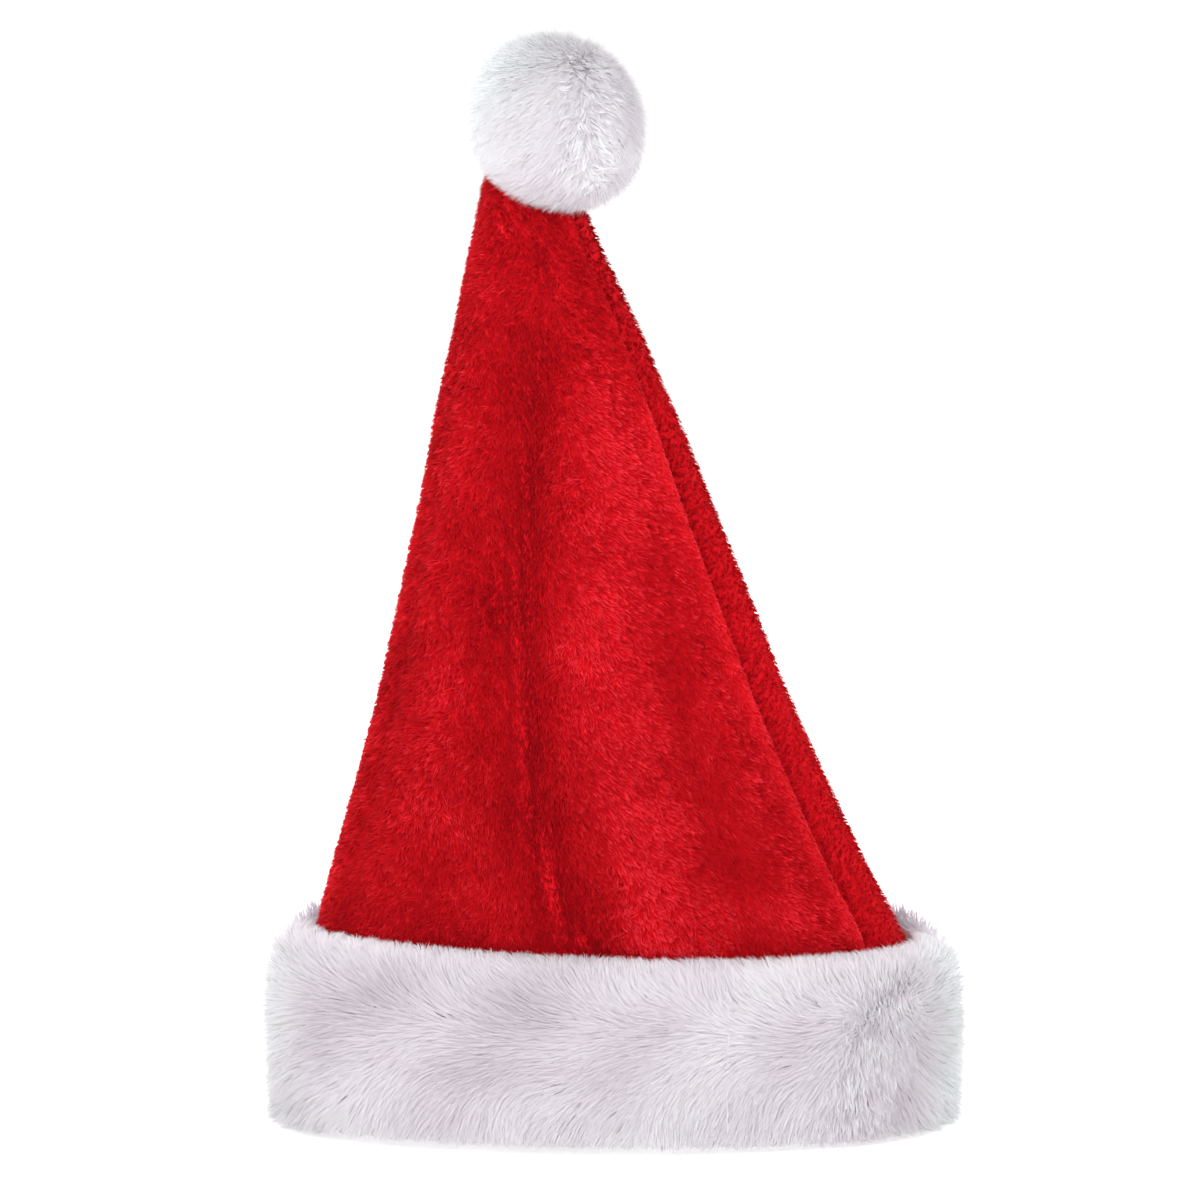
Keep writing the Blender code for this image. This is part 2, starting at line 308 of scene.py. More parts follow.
def evened(surface, shares, thinning):
    """Shares of the two directions, moved so that equal numbers fall on equal areas of the surface."""
    middles = (np.arange(AREA_CELLS) + 0.5) / AREA_CELLS
    edges = np.arange(AREA_CELLS + 1) / AREA_CELLS
    cells = np.meshgrid(middles, middles, indexing="ij")
    ground, size = ground_at(surface, *(part.ravel() for part in cells))
    area = size if thinning is None else size * thinning(ground)
    area = area.reshape(AREA_CELLS, AREA_CELLS) + LEAST_AREA
    run = np.concatenate([[0], np.cumsum(area.sum(1))])
    share_u = np.interp(shares[:, 0], run / run[-1], edges)
    share_v = np.empty(len(shares))
    row_of = np.minimum((share_u * AREA_CELLS).astype(int), AREA_CELLS - 1)
    for row in range(AREA_CELLS):
        here = row_of == row
        run = np.concatenate([[0], np.cumsum(area[row])])
        share_v[here] = np.interp(shares[here, 1], run / run[-1], edges)
    return np.clip(share_u, SMALL_STEP, 1 - 2 * SMALL_STEP), np.clip(share_v, SMALL_STEP, 1 - 2 * SMALL_STEP)


def scatter(surface, count, seed, thinning=None):
    """Evenly spread places on a surface, as many as count. Thinning says how dense they lie at each place."""
    chance = np.random.default_rng(seed)
    order = np.arange(count) + seed * 1000
    shares = np.stack([(0.5 + order * PLASTIC ** -(axis + 1)) % 1 for axis in range(2)], -1)
    shares = np.clip(shares + chance.normal(size=shares.shape) * UNEVEN / np.sqrt(count), 0, 1)
    ground, _ = ground_at(surface, *evened(surface, shares, thinning))
    return ground


print("places are evened out over", AREA_CELLS * AREA_CELLS, "cells")

# %% Strands that leave the cloth and bend as they are brushed
COMBED_FLAT = 0.5  # strands that are combed less than this stand up more
LEAST_LEAN = 0.7  # and this is the smallest share of their lean that they keep
LENGTHS = (0.75, 1.15)  # the shortest and longest strands, as shares of the pile's length
WIDTHS = (0.7, 1.3)
PULLS = (0.5, 1.2)
PULL_GROWS = 1.5  # a power: the pull of a tuft is small at the root and full at the tip
TAPER = 0.6
FACING_STRAY = 0.35
TUFT_TONE = 0.5  # how much of its tone a strand shares with its tuft
PALETTE_EDGE = 0.004  # the border that the flat map of tones keeps clear
Pile = namedtuple("Pile", "length lean_root lean_tip width stray pull tuft wave parts own_normal twist")


def tuft_leaders(places, spacing, area_each, chance):
    """For each place, the number of the nearest leader. Leaders are some of the places, picked at random."""
    leaders = chance.choice(len(places), max(1, int(len(places) * area_each / spacing**2)), replace=False)
    tree = kdtree.KDTree(len(leaders))
    for number in leaders:
        tree.insert(places[number], int(number))
    tree.balance()
    return np.array([tree.find(place)[1] for place in places])


def spines(ground, comb, pile, area_each, seed, lean_share=1.0, pull_share=1.0):
    """The middle line of each strand, as an array of strand, station and coordinate."""
    chance = np.random.default_rng(seed)
    count = len(ground.at)
    comb = comb - ground.out * dot(comb, ground.out)
    lean_share = lean_share * np.clip(np.linalg.norm(comb, axis=1) / COMBED_FLAT, LEAST_LEAN, 1)
    comb = unit(comb)
    stray = chance.normal(size=(count, 3)) * pile.stray
    length = pile.length * chance.uniform(*LENGTHS, count)
    line = [ground.at]
    for part in range(pile.parts):
        share = (part + 0.5) / pile.parts
        lean = np.radians(pile.lean_root + (pile.lean_tip - pile.lean_root) * share)
        lean = (lean * lean_share + chance.normal(size=count) * pile.stray)[:, None]
        step = ground.out * np.cos(lean) + comb * np.sin(lean) + stray
        line.append(line[-1] + unit(step) * (length / pile.parts)[:, None])
    line = np.stack(line, 1)
    leader = tuft_leaders(ground.at, pile.tuft, area_each, chance)
    stations = np.linspace(0, 1, pile.parts + 1)[None, :, None]
    pull = (pile.pull * pull_share * chance.uniform(*PULLS, count))[:, None, None]
    line = line + (line[leader] - line) * pull * stations**PULL_GROWS
    sway = chance.normal(size=(count, 1, 3)) * pile.wave
    return line + sway * np.sin(np.pi * stations) * stations, leader


def strand_piece(name, ground, line, leader, pile, material, seed, tone):
    """All the strands as one mesh of tapered ribbons, with a tone for each strand and how far along it is."""
    chance = np.random.default_rng(seed + 50)
    count, parts = len(line), pile.parts
    tangent = unit(np.gradient(line, axis=1))
    facing = ground.out + chance.normal(size=(count, 3)) * FACING_STRAY
    side = unit(np.cross(tangent, facing[:, None]))
    turn = (chance.normal(size=count) * pile.twist)[:, None, None]
    side = side * np.cos(turn) + np.cross(tangent, side) * np.sin(turn)
    taper = np.linspace(1, 0, parts + 1)[None, :parts, None] ** TAPER
    half = pile.width / 2 * chance.uniform(*WIDTHS, (count, 1, 1)) * taper
    left, right = line[:, :-1] - side[:, :-1] * half, line[:, :-1] + side[:, :-1] * half
    pairs = np.stack([left, right], 2).reshape(count, 2 * parts, 3)
    points = np.concatenate([pairs, line[:, -1:]], 1)
    per = 2 * parts + 1
    faces = [corner + 2 * part for part in range(parts - 1) for corner in (0, 1, 3, 2)]
    faces += [per - 3, per - 2, per - 1]
    corners = (np.arange(count)[:, None] * per + np.array(faces)).ravel()
    sizes = np.tile([4] * (parts - 1) + [3], count)
    mesh = mesh_from(name, points.reshape(-1, 3), corners, sizes)

    geometric = unit(np.cross(side, tangent))
    geometric = np.concatenate([np.repeat(geometric[:, :-1], 2, 1), geometric[:, -1:]], 1)
    own = pile.own_normal
    normals = unit(ground.out[:, None] * (1 - own) + geometric * own).reshape(-1, 3)
    mesh.normals_split_custom_set_from_vertices(normals.tolist())

    along = np.append(np.repeat(np.arange(parts) / parts, 2), 1.0)
    along = np.tile(along, count)
    shade = tone * (1 - TUFT_TONE) + tone[leader] * TUFT_TONE
    shade = np.repeat(np.clip(shade, PALETTE_EDGE, 1 - PALETTE_EDGE), per)
    for title, values in (("along", along), ("tone", shade)):
        mesh.attributes.new(title, "FLOAT", "POINT").data.foreach_set("value", values.astype(np.float32))
    aside = np.tile(np.append(np.tile([-1, 1], parts), 0), count) * PALETTE_EDGE / 2
    palette = np.stack([shade + aside, PALETTE_EDGE + along * (1 - 2 * PALETTE_EDGE)], -1)[corners]
    layer = mesh.uv_layers.new(name="OFBake")
    layer.uv.foreach_set("vector", palette.astype(np.float32).ravel())
    return finished(name, mesh, [material])


print("strand maker ready")

# %% [markdown]
# ## Writing shader sums as sums
# A material's maths reads best as an expression. The class below wraps a socket, and each operator on it
# adds the Math node that works it out. Colours go through Mix nodes, because a Math node would turn them
# grey.

# %% The socket class
MIX_A, MIX_B, MIX_OUT = 6, 7, 2  # a Mix node's colour sockets


class Wire:
    """A socket that can stand in a sum."""

    def __init__(self, tree, socket=None):
        self.tree = tree
        self.socket = socket

    def node(self, kind, settings, sockets, out=0):
        """A node of some type, with its settings made first and then its sockets' values or links."""
        made = self.tree.nodes.new(kind)
        for name, value in settings.items():
            setattr(made, name, value)
        for name, value in sockets.items():
            if isinstance(value, Wire):
                self.tree.links.new(value.socket, made.inputs[name])
            else:
                made.inputs[name].default_value = value
        return Wire(self.tree, made.outputs[out])

    def maths(self, operation, *values):
        return self.node("ShaderNodeMath", {"operation": operation}, dict(enumerate(values)))

    def __add__(self, other):
        return self.maths("ADD", self, other)

    __radd__ = __add__

    def __sub__(self, other):
        return self.maths("SUBTRACT", self, other)

    def __rsub__(self, other):
        return self.maths("SUBTRACT", other, self)

    def __mul__(self, other):
        return self.maths("MULTIPLY", self, other)

    __rmul__ = __mul__

    def clamped(self):
        return self.maths("MINIMUM", self.maths("MAXIMUM", self, 0.0), 1.0)

    def mixed(self, low, high):
        """The colour between two colours that this number, from 0 to 1, stands for."""
        settings = {"data_type": "RGBA"}
        return self.node("ShaderNodeMix", settings, {0: self, MIX_A: low, MIX_B: high}, MIX_OUT)


def shaded(name, constants, build):
    """A material with a Principled shader's constants and the sockets that build fills from its nodes."""
    material = bpy.data.materials.new(name)
    material.use_nodes = True
    tree = material.node_tree
    shader = tree.nodes["Principled BSDF"]
    for socket, value in constants.items():
        shader.inputs[socket].default_value = value
    for socket, wire in build(Wire(tree)).items():
        tree.links.new(wire.socket, shader.inputs[socket])
    return material


print("shader helper ready")

# %% Fibres that let light through
Blend = namedtuple("Blend", "first steps")  # a colour, and for each step a share and the colour it mixes in


def blended(blend):
    colour = blend.first
    for share, other in blend.steps:
        colour = share.mixed(colour, other)
    return colour


def shining_through(start, blend):
    """Translucent shaders in the blend's plain colours, mixed by the blend's shares."""
    shader = start.node("ShaderNodeBsdfTranslucent", {}, {"Color": blend.first}, "BSDF")
    for share, other in blend.steps:
        added = start.node("ShaderNodeBsdfTranslucent", {}, {"Color": other}, "BSDF")
        shader = start.node("ShaderNodeMixShader", {}, {0: share, 1: shader, 2: added}, "Shader")
    return shader


def fibre(name, constants, blend_from, lets_through):
    """A material for thin fibres: a blend of colours, and a share of the light comes through in the same."""
    material = shaded(name, constants, lambda start: {})
    tree = material.node_tree
    start, shader = Wire(tree), tree.nodes["Principled BSDF"]
    blend = blend_from(start)
    tree.links.new(blended(blend).socket, shader.inputs["Base Color"])
    sides = {0: lets_through, 1: Wire(tree, shader.outputs["BSDF"]), 2: shining_through(start, blend)}
    both = start.node("ShaderNodeMixShader", {}, sides, "Shader")
    tree.links.new(both.socket, tree.nodes["Material Output"].inputs["Surface"])
    return material


print("fibre helper ready")

# %% [markdown]
# ## The finishes of the plush and the fur
# The plush is a deep red with painted shade: darkest at the strands' roots between the fibres, and
# darker in the folds' valleys and where the hat's parts shade it. Where the tone is high, as on the
# ridges and the seam's lip, the strands' ends carry a painted highlight, lighter and a little pink. The
# fur is an off-white whose tufts differ slightly, some bluish and some rosy, as cheap white fur does
# under soft light, and its tones also carry painted shade and painted light. A strand also lets a share
# of the light through, because the far side of a thin fibre isn't dark. Under each pile lies its ground:
# the same colour with a fine grain in it, and on the inside a knitted backing of small loops.

# %% Red plush
RED_DEEP = (0.320, 0.0027, 0.0065, 1)
RED_FULL = (0.810, 0.0085, 0.0170, 1)
RED_LIT = (0.970, 0.0850, 0.1300, 1)
RED_BACKING = (0.520, 0.0120, 0.0200, 1)
GRAIN_SCALE = 900.0


def attribute(start, name):
    return start.node("ShaderNodeAttribute", {"attribute_name": name}, {}, "Fac")


def red_strands(start):
    along, tone = attribute(start, "along"), attribute(start, "tone")
    # painted shade towards the roots, and the tone's painted light and shade
    full = (along * 0.25 + tone * 1.1 - 0.2).clamped()
    # a painted highlight, a little pink, on the tips of strands whose tone is high
    lit = (along * tone * 1.3 - 0.45).clamped()
    return Blend(RED_DEEP, ((full, RED_FULL), (lit, RED_LIT)))


red_pile = fibre("red_pile", {"Roughness": 0.6, "Specular IOR Level": 0.03}, red_strands, lets_through=0.35)


def grainy(start, depth):
    """A fine grain in object space, and the bump that it makes."""
    coords = start.node("ShaderNodeTexCoord", {}, {}, "Object")
    sockets = {"Vector": coords, "Scale": GRAIN_SCALE, "Detail": 4.0}
    grain = start.node("ShaderNodeTexNoise", {}, sockets, "Fac")
    bump = start.node("ShaderNodeBump", {}, {"Height": grain, "Distance": depth, "Strength": 0.8}, "Normal")
    return grain, bump


def red_ground_nodes(start):
    grain, bump = grainy(start, 0.6 * MM)
    return {"Base Color": grain.mixed(RED_DEEP, RED_FULL), "Normal": bump}


def stripes(place, direction, scale, distortion):
    sockets = {"Vector": place, "Scale": scale, "Distortion": distortion}
    return place.node("ShaderNodeTexWave", {"bands_direction": direction}, sockets, "Fac")


def knit(start, colour_low, colour_high):
    """Rows of small loops, as on the back of a knitted cloth."""
    place = start.node("ShaderNodeUVMap", {"uv_map": "cloth"}, {})
    rows, ribs = stripes(place, "X", 260.0, 0.6), stripes(place, "Y", 180.0, 0.8)
    loops = rows * 0.5 + rows * ribs * 0.5
    sockets = {"Height": loops, "Distance": 0.4 * MM, "Strength": 0.9}
    bump = start.node("ShaderNodeBump", {}, sockets, "Normal")
    return {"Base Color": loops.mixed(colour_low, colour_high), "Normal": bump}


red_ground = shaded("red_ground", {"Roughness": 0.85, "Specular IOR Level": 0.03}, red_ground_nodes)
red_backing = shaded(
    "red_backing",
    {"Roughness": 0.9, "Specular IOR Level": 0.2},
    lambda start: knit(start, RED_DEEP, RED_BACKING),
)
print("materials:", len(bpy.data.materials))

# %% White fur
WHITE_DEEP = (0.90, 0.88, 0.90, 1)
# The grey below is painted shade: the fur's lowest tones, mostly painted shade, blend towards it.
WHITE_PAINTED_SHADE = (0.70, 0.64, 0.69, 1)
WHITE_LILAC = (0.87, 0.84, 0.875, 1)
WHITE_ROSY = (0.92, 0.905, 0.925, 1)
WHITE_COOL = (0.97, 0.99, 1.00, 1)
WHITE_BACKING = (0.82, 0.81, 0.80, 1)
Tint = namedtuple("Tint", "from_tone over colour")
WHITE_TINTS = (Tint(0.0, 0.5, WHITE_LILAC), Tint(0.5, 0.25, WHITE_ROSY), Tint(0.75, 0.25, WHITE_COOL))


def white_strands(start):
    along, tone = attribute(start, "along"), attribute(start, "tone")
    # low tones, mostly painted shade, blend from the grey; high tones, in places painted light, towards the
    # cool white
    steps = [(((tone - tint.from_tone) * (1 / tint.over)).clamped(), tint.colour) for tint in WHITE_TINTS]
    root = 1.0 - (along * 2.0 + 0.4).clamped()
    return Blend(WHITE_PAINTED_SHADE, (*steps, (root, WHITE_DEEP)))


white_pile = fibre(
    "white_pile", {"Roughness": 0.70, "Specular IOR Level": 0.12}, white_strands, lets_through=0.5
)


def white_ground_nodes(start):
    grain, bump = grainy(start, 0.3 * MM)
    return {"Base Color": grain.mixed(WHITE_DEEP, WHITE_LILAC), "Normal": bump}


white_ground = shaded("white_ground", {"Roughness": 0.9, "Specular IOR Level": 0.2}, white_ground_nodes)
white_backing = shaded(
    "white_backing",
    {"Roughness": 0.9, "Specular IOR Level": 0.2},
    lambda start: knit(start, WHITE_DEEP, WHITE_BACKING),
)
print("materials:", len(bpy.data.materials))

# %% [markdown]
# ## The two plush panels
# Each panel is one sheet from seam to seam. Its outer face lies a little under the solid's, to leave room
# for the pile, and its inner face is the solid's own, so that the hollow keeps its size. The cloth was cut
# as a tall triangle with a short top edge. It keeps its form by itself, so no drape is simulated.

# %% Panels with a wall
PLUSH = 3 * MM
PILE_DEPTH = 1.1 * MM
SEAM_GAP = 0.3 * MM
PANEL_ROWS, PANEL_COLUMNS = 84, 56
SEAM_CROWDING = 0.6
PANEL_WIDTH, PANEL_LENGTH = 0.300, 0.405

Panel = namedtuple("Panel", "name node turn")
PANELS = (
    Panel("front", "crown_front_panel", 0),
    Panel("back", "crown_back_panel", 180),
)


def panel_angle(height, share, turn):
    """The angle at a share of the way across a panel, at some heights."""
    return seam_angle(height, turn) + 180 * share


def cloth_panel(panel):
    height = np.linspace(MARGIN_FOOT, TIP, PANEL_ROWS)[:, None]
    step = np.linspace(0, 1, PANEL_COLUMNS)[None]
    share = step - SEAM_CROWDING * np.sin(2 * np.pi * step) / (2 * np.pi)
    margin = SEAM_GAP / 2 / np.maximum(section_at(height).depth * np.pi, MM)
    angle = panel_angle(height, margin + share * (1 - 2 * margin), panel.turn)
    outer = crown_point(height, angle, -PILE_DEPTH)
    inner = crown_point(height, angle, -PLUSH)
    rings = np.concatenate([outer, inner[:, ::-1]], 1)
    mesh = skin(f"{panel.name}_cloth", rings, joined=False, capped=True)
    face = np.arange(len(mesh.polygons))
    inside = ((face % (2 * PANEL_COLUMNS)) >= PANEL_COLUMNS) & (face < (PANEL_ROWS - 1) * 2 * PANEL_COLUMNS)
    mesh.polygons.foreach_set("material_index", inside.astype(np.int32))
    corners = np.empty(len(mesh.loops), np.int32)
    mesh.loops.foreach_get("vertex_index", corners)
    across = np.concatenate([step[0], step[0, ::-1]]) * PANEL_WIDTH
    flat = np.stack(np.broadcast_arrays(across[None], height), -1).reshape(-1, 2)
    mesh.uv_layers.new(name="cloth").uv.foreach_set("vector", flat[corners].astype(np.float32).ravel())
    cloth = finished(f"{panel.name}_cloth", mesh, [red_ground, red_backing], [panel.node])
    return cloth


for panel in PANELS:
    cloth_panel(panel)

# %% [markdown]
# ## The plush pile
# Short pile is brushed almost flat, here across the cone, so a photo shows it as fine streaks that run
# sideways. Each ribbon stands for a streak of fibres. Its own normal counts for much, because plush glints:
# a streak that faces the light is bright and its neighbour isn't.

# %% Where the plush grows, and which way it is brushed
PILE_START, PILE_SPLIT, PILE_END = 74 * MM, 172 * MM, 413 * MM
RED_PILE = Pile(
    length=3.8 * MM, lean_root=44, lean_tip=72, width=0.60 * MM, stray=0.10, pull=0.45, tuft=1.8 * MM,
    wave=0.25 * MM, parts=2, own_normal=0.55, twist=0.30,
)
PLUSH_AREA_EACH = 0.6 * MM * MM
ROOTS_UNDER = 0.2 * MM  # how far under the panel's face the strands start
FAN_MIDDLE, FAN_SLOPE = 0.45, 2.2  # the pile hangs straight down at the middle, and fans out to both seams
FAN_REACH, FAN_HANGS = 1.3, 0.7
SWIRL_BROAD, SWIRL_FINE, SWIRL_LOOSE = 0.35, 0.40, 0.35  # the brushing's turns, and each strand's own
LIP_WIDTH, SUNK_WIDTH = 6.5 * MM, 11 * MM
LIP_SHORTER = 0.35
VALLEY_HANGS = 6.0  # mm: in a valley this deep the pile hangs down the valley
ROUGH_PLACE, ROUGH_WIDTH = 17 * MM, 5 * MM  # a parted line in the pile beside the front right seam
FUZZY_PLACE, FUZZY_WIDTH = 36 * MM, 12 * MM  # the left edge, where handling has roughed the pile up
# painted shade on the strip behind the right seam, which deepens with height
SHADED_ABOVE, SHADED_OVER = 90 * MM, 200 * MM  # the strip behind the right seam darkens over these heights

# Soft patches of painted light and shade: painted shadow under the pompom and beside the seam; painted shade
# below the brow, on the left, above the fur on the left and low in the folds; painted light on the ridge
# beside the seam, low on the right and above the fur on the right.
PLUSH_PAINTED_LIGHT_AND_SHADE = (
    # place, x, height, reach_x, reach_z in mm, amount
    Patch("under the pompom", -20, 384, 16, 12, -0.25),
    Patch("beside the seam, first", -13, 370, 7, 12, -0.50),
    Patch("beside the seam, second", -7, 352, 7, 12, -0.42),
    Patch("beside the seam, third", 1, 335, 6, 12, -0.36),
    Patch("beside the seam, fourth", 8, 318, 6, 12, -0.30),
    Patch("below the brow", -14, 318, 8, 32, -0.12),
    Patch("high ridge beside the seam", 1, 293, 9, 22, 0.12),
    Patch("high on the left", -68, 300, 16, 60, -0.14),
    Patch("left edge", -84, 200, 16, 75, -0.12),
    Patch("left of the long valley", -58, 205, 10, 60, -0.10),
    Patch("above the fur on the left", -96, 92, 40, 10, -0.15),
    Patch("low in the left fold", -67, 112, 9, 18, -0.12),
    Patch("low on the right", 44, 160, 20, 55, 0.14),
    Patch("above the fur on the right", 60, 98, 30, 12, 0.16),
    Patch("low in the long valley", -4, 122, 10, 26, -0.20),
)

# How much each zone of the cloth changes the strands' lean, their pull to a tuft, their tone and its spread
PLUSH_LEAN = {"lip": 0.15, "hangs": 0.15, "fuzzy": -0.15}
PLUSH_PULL = {"rough": 0.8, "fuzzy": 0.9, "lip": -0.6, "hangs": -0.6}
# The tone's changes are painted light and shade: lighter on the folds' ridges and darker in their valleys, a
# painted highlight on the seam's lip, and painted shade on the strip behind the right seam.
PLUSH_PAINTED_ZONE_LIGHT_AND_SHADE = {"stands": 0.056, "lip": 0.30, "sunk": -0.40}
PLUSH_SPREAD = {"stands": 0.014, "rough": 0.10, "fuzzy": 0.08, "lip": -0.08}
PLUSH_PLAIN_TONE, PLUSH_CLOUDS = 0.51, 0.07
PLUSH_PLAIN_SPREAD, PLUSH_LEAST_SPREAD = 0.15, 0.05

PilePiece = namedtuple("PilePiece", "name turn low high count seed")
PILE_PIECES = (
    PilePiece("plush_pile_front_low", 0, PILE_START, PILE_SPLIT, 52000, 1),
    PilePiece("plush_pile_front_high", 0, PILE_SPLIT, PILE_END, 52000, 2),
    PilePiece("plush_pile_back", 180, PILE_START, PILE_END, 44000, 3),
)


def relief_at(points):
    """How far the folds move the cloth outwards at some points of it."""
    section = section_at(points[:, 2])
    half_width = (section.right - section.left) / 2
    along = (points[:, 0] - (section.left + section.right) / 2) / half_width
    across = -(points[:, 1] - section.middle) / section.depth
    angle = np.degrees(np.arctan2(across, along)) % 360
    arc = np.hypot(half_width * np.sin(np.radians(angle)), section.depth * np.cos(np.radians(angle)))
    return sum(fold_relief(section, angle, arc, fold) for fold in CROWN_FOLDS)


def seam_distances(ground, piece):
    """How far some places of a panel are from the front right seam and from the back left one."""
    section = section_at(ground.at[:, 2])
    angle = np.radians(panel_angle(section.height, ground.share_v, piece.turn))
    arc = np.hypot((section.right - section.left) / 2 * np.sin(angle), section.depth * np.cos(angle))
    from_start, from_end = arc * np.pi * ground.share_v, arc * np.pi * (1 - ground.share_v)
    return (from_end, from_start) if piece.turn else (from_start, from_end)


Zones = namedtuple("Zones", "lip sunk fuzzy rough stands hangs")


def plush_zones(ground, piece):
    """How far each place belongs to each zone of the cloth. Stands is how far its fold stands out, in mm."""
    to_right, to_left = seam_distances(ground, piece)
    front = piece.turn == 0
    shade = 0.8 + 0.7 * eased((ground.at[:, 2] - SHADED_ABOVE) / SHADED_OVER)
    stands = relief_at(ground.at) / MM
    return Zones(
        lip=front * np.exp(-((to_right / LIP_WIDTH) ** 2)),
        sunk=(not front) * np.exp(-to_right / SUNK_WIDTH) * shade,
        fuzzy=front * np.exp(-(((to_left - FUZZY_PLACE) / FUZZY_WIDTH) ** 2)),
        rough=front * np.exp(-(((to_right - ROUGH_PLACE) / ROUGH_WIDTH) ** 2)),
        stands=stands,
        hangs=(-stands / VALLEY_HANGS).clip(0, 1),
    )


def weighed(zones, plain, weights):
    """A plain value and what the zones add to it."""
    return plain + sum(getattr(zones, name) * weight for name, weight in weights.items())


def plush_comb(ground, zones, swirl):
    """The way the pile is brushed: out to both seams, down in the valleys, and a little at random."""
    fan = FAN_REACH * np.tanh((ground.share_v - FAN_MIDDLE) * FAN_SLOPE) * (1 - zones.lip)
    fan = fan * (1 - FAN_HANGS * zones.hangs)
    fan = fan + swirl * (1 - 0.7 * zones.lip) * (1 - 0.4 * zones.hangs)
    falls = 0.7 + 0.8 * zones.hangs - 0.5 * swirl * (1 - zones.hangs)
    return ground.round * fan[:, None] - ground.rising * falls[:, None]


def plush_pile(piece):
    def surface(share_u, share_v):
        height = piece.low + (piece.high - piece.low) * share_u
        return crown_point(height, panel_angle(height, share_v, piece.turn), -PILE_DEPTH - ROOTS_UNDER)

    ground = scatter(surface, piece.count, piece.seed)
    chance = np.random.default_rng(piece.seed)
    zones = plush_zones(ground, piece)
    swirl = SWIRL_BROAD * ripple(ground.at, 60 * MM, 11) + SWIRL_FINE * ripple(ground.at, 9 * MM, 12)
    swirl = swirl + chance.normal(size=piece.count) * SWIRL_LOOSE
    pile = RED_PILE._replace(length=RED_PILE.length * (1 - LIP_SHORTER * zones.lip))
    line, leader = spines(
        ground, plush_comb(ground, zones, swirl), pile, PLUSH_AREA_EACH, piece.seed,
        lean_share=weighed(zones, 1, PLUSH_LEAN), pull_share=weighed(zones, 1, PLUSH_PULL),
    )
    # painted light and shade from the zones and the patches, with clouds and a spread at random
    tone = weighed(zones, PLUSH_PLAIN_TONE, PLUSH_PAINTED_ZONE_LIGHT_AND_SHADE) + PLUSH_CLOUDS * ripple(ground.at, 40 * MM, 13)
    spread = weighed(zones, PLUSH_PLAIN_SPREAD, PLUSH_SPREAD).clip(PLUSH_LEAST_SPREAD, 1)
    tone = tone + patched(ground.at, PLUSH_PAINTED_LIGHT_AND_SHADE) + chance.normal(size=piece.count) * spread
    return strand_piece(piece.name, ground, line, leader, RED_PILE, red_pile, piece.seed, tone)


for piece in PILE_PIECES:
    plush_pile(piece)

# %% [markdown]
# ## The fur band
# The band is a padded cuff of long fur. Its core is a closed ring with a slot in its top for the crown's
# margin, and a thin knitted backing inside. The fur grows from the core's outer face: upwards over the red
# at the crest, outwards at the ends, and down to the floor at the hem.

# %% The band's core
Lift = namedtuple("Lift", "angle crest hem")
BAND_LIFTS = Lift(
    *np.array(
        (
            # angle, how much higher the crest stands here, and the hem
            (0, 1.0, 1.5),
            (45, 0.0, 0.3),
            (65, 1.0, 0.8),
            (90, 1.8, 3.5),
            (120, 4.5, 4.5),
            (140, 6.0, 3.0),
            (180, 7.0, 0.0),
            (225, 5.0, 0.0),
            (270, 4.0, 0.0),
            (315, 4.5, 0.0),
            (360, 1.0, 1.5),
        )
    ).T
)
CORE_FOOT, CORE_CREST = 3 * MM, 78 * MM
CORE_STANDS_OFF, CORE_BULGE = 1.5 * MM, 12.0 * MM
CREST_SQUARENESS, FOOT_SQUARENESS = 0.62, 0.28  # 1 is an ellipse, and less is squarer
CORE_COLUMNS, CORE_ROUND = 150, 26
BAND_ROUND = 0.6  # metres of cloth round the band

CoreRow = namedtuple("CoreRow", "place outward height lift")
CORE_INSIDE = (
    # place, outward and height in mm, the lift that it follows
    CoreRow("slot mouth", 4.0, 74.0, "crest"),
    CoreRow("slot throat", 0.8, 62.0, None),
    CoreRow("slot floor outside", 0.8, 12.0, None),
    CoreRow("slot floor inside", -3.8, 12.0, None),
    CoreRow("backing top outside", -3.8, 60.0, None),
    CoreRow("backing top", -5.1, 60.6, None),
    CoreRow("backing top inside", -6.4, 60.0, None),
    CoreRow("hem inside", -6.4, 1.0, "hem"),
    CoreRow("hem underside", -5.8, 0.3, "hem"),
)
SLOT_ROWS = 5  # the backing starts after these
LIFT_SOFTENING = (-18, -9, 0, 9, 18)  # degrees to each side


def lift_at(angle, rises):
    """A column of the table of lifts at some angles, read softly between the rows."""
    steps = [np.interp((angle + step) % 360, BAND_LIFTS.angle, rises) for step in LIFT_SOFTENING]
    return np.mean(steps, 0) * MM


def oval_point(angle, outward, height):
    """Points round the crown's margin, moved outwards."""
    foot = section_at(np.full(np.shape(angle), MARGIN_FOOT))
    half_width = (foot.right - foot.left) / 2
    along, across = np.cos(np.radians(angle)), -np.sin(np.radians(angle))
    normal = unit(np.stack([along / half_width, across / foot.depth], -1))
    flat = np.stack([half_width * along, foot.depth * across], -1) + normal * np.asarray(outward)[..., None]
    return np.concatenate([flat, np.broadcast_to(height, flat.shape[:-1])[..., None]], -1)


def even_angle(share):
    """The angle at a share of the way round, where equal shares are equal lengths of band."""
    fine = np.linspace(0, 360, 721)
    ring = oval_point(fine, np.full(len(fine), CORE_BULGE), 0.0)
    run = np.concatenate([[0], np.cumsum(np.linalg.norm(np.diff(ring, axis=0), axis=1))])
    return np.interp(np.mod(share, 1) * run[-1], run, fine)


